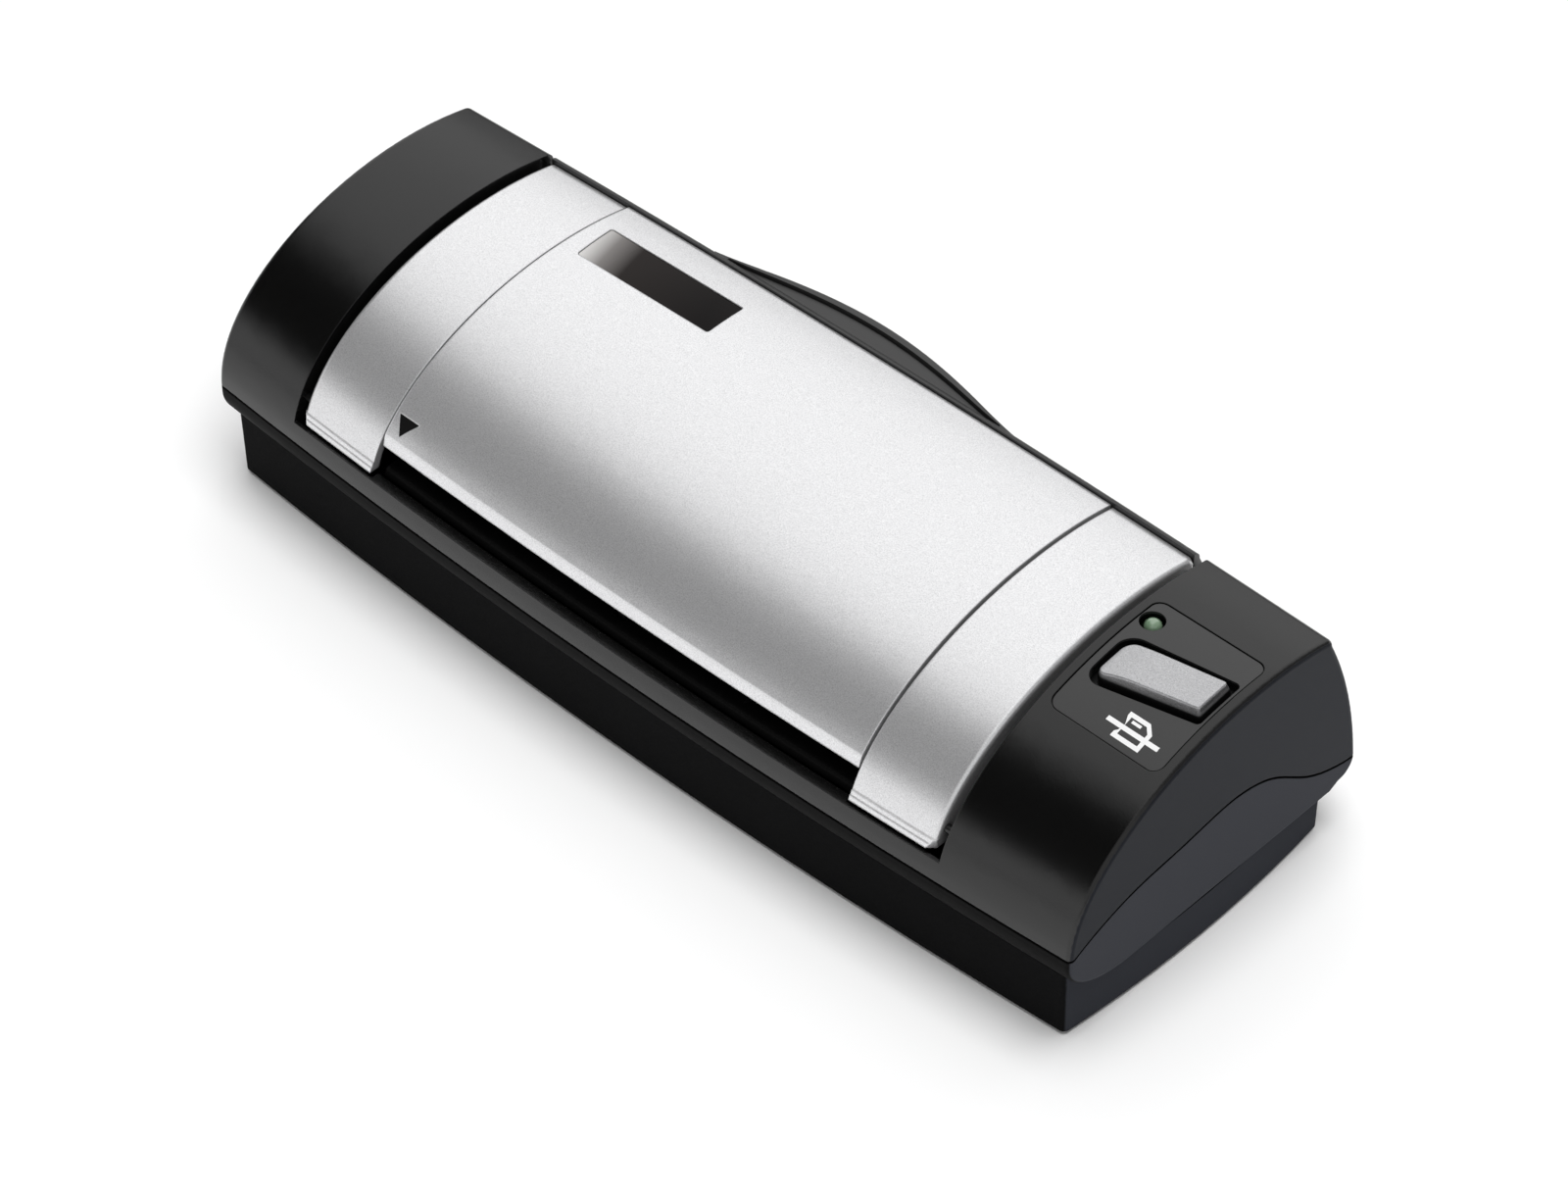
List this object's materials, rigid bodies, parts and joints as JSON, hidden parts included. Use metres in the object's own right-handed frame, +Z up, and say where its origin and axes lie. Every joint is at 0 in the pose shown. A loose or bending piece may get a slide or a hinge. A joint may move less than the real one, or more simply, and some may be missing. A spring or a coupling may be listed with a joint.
{
  "type": "portable sheet-fed card scanner",
  "caption": "Portable card and photo scanner: bowed case with a front feed mouth, a hinged silver cover, roller drive, two sensor bars and a scan button",
  "frame": {"origin": "under the middle of the case, on the surface the rubber feet stand on", "axes": "+X along the case to the button end, -Y out of the feed mouth at the front, +Z up"},
  "size_m": [0.19, 0.0736, 0.0485],
  "materials": {
    "base_black": "fine-textured near-black moulded plastic",
    "case_grey": "dark bluish-grey moulded plastic, fine grain",
    "case_satin": "satin black moulded plastic",
    "label_black": "satin black label film",
    "silver_paint": "fine metallic silver paint on moulded plastic",
    "badge_gloss": "gloss plate shading from light to dark",
    "ink_black": "matt black inlay",
    "trim_black": "satin black trim",
    "frame_black": "matt black moulded plastic",
    "sensor_black": "black sensor housing",
    "glass": "clear sensor glass",
    "backing_white": "white calibration strip",
    "shaft_steel": "ground steel",
    "roller_rubber": "dark grey feed rubber",
    "gear_white": "natural acetal",
    "brass": "turned brass",
    "zinc_sheet": "zinc-plated sheet steel",
    "motor_can": "drawn steel can",
    "screw_steel": "black oxide screw",
    "bush_bronze": "sintered bronze",
    "pinch_plastic": "pale acetal roller",
    "spring_steel": "spring steel strip",
    "dark_steel": "black oxide pin",
    "button_silver": "grained silver paint on plastic",
    "circuit_green": "solder resist on laminate",
    "switch_black": "switch housing",
    "lamp_green": "tinted green lamp dome",
    "chip_black": "moulded chip packages",
    "socket_steel": "nickel-plated shell",
    "flag_black": "black acetal",
    "foot_rubber": "soft black rubber"
  },
  "bodies": {
    "case": {"bottom_cover": "base_black", "lower_housing": "case_grey", "upper_housing": "case_satin", "control_label": "label_black", "paper_deck": "frame_black", "lower_sensor": "sensor_black", "lower_sensor_glass": "glass", "lower_backing": "backing_white", "idler_pin": "shaft_steel", "gear_plate": "zinc_sheet", "stepper_motor": "motor_can", "motor_screws": "screw_steel", "left_bearing_plate": "zinc_sheet", "right_bearing_plate": "zinc_sheet", "shaft_bushes": "bush_bronze", "latch_catches": "frame_black", "button_board": "circuit_green", "tact_switch": "switch_black", "indicator_lamp": "lamp_green", "main_board": "circuit_green", "board_chips": "chip_black", "usb_socket": "socket_steel", "board_clips": "frame_black", "flag_bracket": "frame_black", "flag_pin": "shaft_steel", "photo_sensor": "switch_black", "rubber_feet": "foot_rubber", "base_screws": "screw_steel"},
    "cover": {"left_flange": "silver_paint", "right_flange": "silver_paint", "centre_panel": "silver_paint", "badge_plate": "badge_gloss", "alignment_arrow": "ink_black", "rear_trim": "trim_black", "cover_frame": "frame_black", "upper_guide": "frame_black", "upper_sensor": "sensor_black", "upper_sensor_glass": "glass", "upper_backing": "backing_white", "pinch_carriers": "frame_black", "pinch_springs": "spring_steel", "hinge_pins": "dark_steel", "latch_hooks": "frame_black", "cover_screws": "screw_steel"},
    "feed_roller": {"feed_shaft": "shaft_steel", "feed_tyres": "roller_rubber", "feed_gear": "gear_white"},
    "exit_roller": {"exit_shaft": "shaft_steel", "exit_tyres": "roller_rubber", "exit_gear": "gear_white"},
    "idler": {"idler_gear": "gear_white"},
    "pinion": {"motor_pinion": "brass", "motor_shaft": "shaft_steel"},
    "front_pinch": {"front_pinch_axle": "shaft_steel", "front_pinch_rollers": "pinch_plastic"},
    "rear_pinch": {"rear_pinch_axle": "shaft_steel", "rear_pinch_rollers": "pinch_plastic"},
    "button": {"scan_button": "button_silver"},
    "flag": {"paper_flag": "flag_black"}
  },
  "joints": [
    {"name": "cover_hinge", "type": "hinge", "parent": "case", "child": "cover", "pos_m": [0, -0.0306, 0.0272], "axis": [1, 0, 0], "range_deg": [0, 50]},
    {"name": "feed_spin", "type": "hinge", "parent": "case", "child": "feed_roller", "pos_m": [0, -0.0226, 0.0203], "axis": [1, 0, 0], "continuous": true},
    {"name": "exit_spin", "type": "hinge", "parent": "case", "child": "exit_roller", "pos_m": [0, 0.0206, 0.0203], "axis": [1, 0, 0], "continuous": true},
    {"name": "idler_spin", "type": "hinge", "parent": "case", "child": "idler", "pos_m": [0, -0.001, 0.0203], "axis": [1, 0, 0], "continuous": true},
    {"name": "pinion_spin", "type": "hinge", "parent": "case", "child": "pinion", "pos_m": [0, 0.01352, 0.0316], "axis": [1, 0, 0], "continuous": true},
    {"name": "front_pinch_spin", "type": "hinge", "parent": "cover", "child": "front_pinch", "pos_m": [0, -0.0226, 0.02895], "axis": [1, 0, 0], "continuous": true},
    {"name": "rear_pinch_spin", "type": "hinge", "parent": "cover", "child": "rear_pinch", "pos_m": [0, 0.0206, 0.02895], "axis": [1, 0, 0], "continuous": true},
    {"name": "button_press", "type": "slide", "parent": "case", "child": "button", "axis": [0, -0.1426, 0.9898], "range_m": [-0.001, 0], "stiffness_N_per_m": 400},
    {"name": "flag_swing", "type": "hinge", "parent": "case", "child": "flag", "pos_m": [-0.0029, -0.0291, 0.0188], "axis": [1, 0, 0], "range_deg": [-33, 0], "stiffness_Nm_per_rad": 0.0002}
  ],
  "couplings": [
    {"joint": "exit_spin", "follows": "feed_spin", "ratio": 1},
    {"joint": "idler_spin", "follows": "feed_spin", "ratio": -0.42105},
    {"joint": "pinion_spin", "follows": "feed_spin", "ratio": 2},
    {"joint": "front_pinch_spin", "follows": "feed_spin", "ratio": -1.4286},
    {"joint": "rear_pinch_spin", "follows": "feed_spin", "ratio": -1.4286}
  ]
}
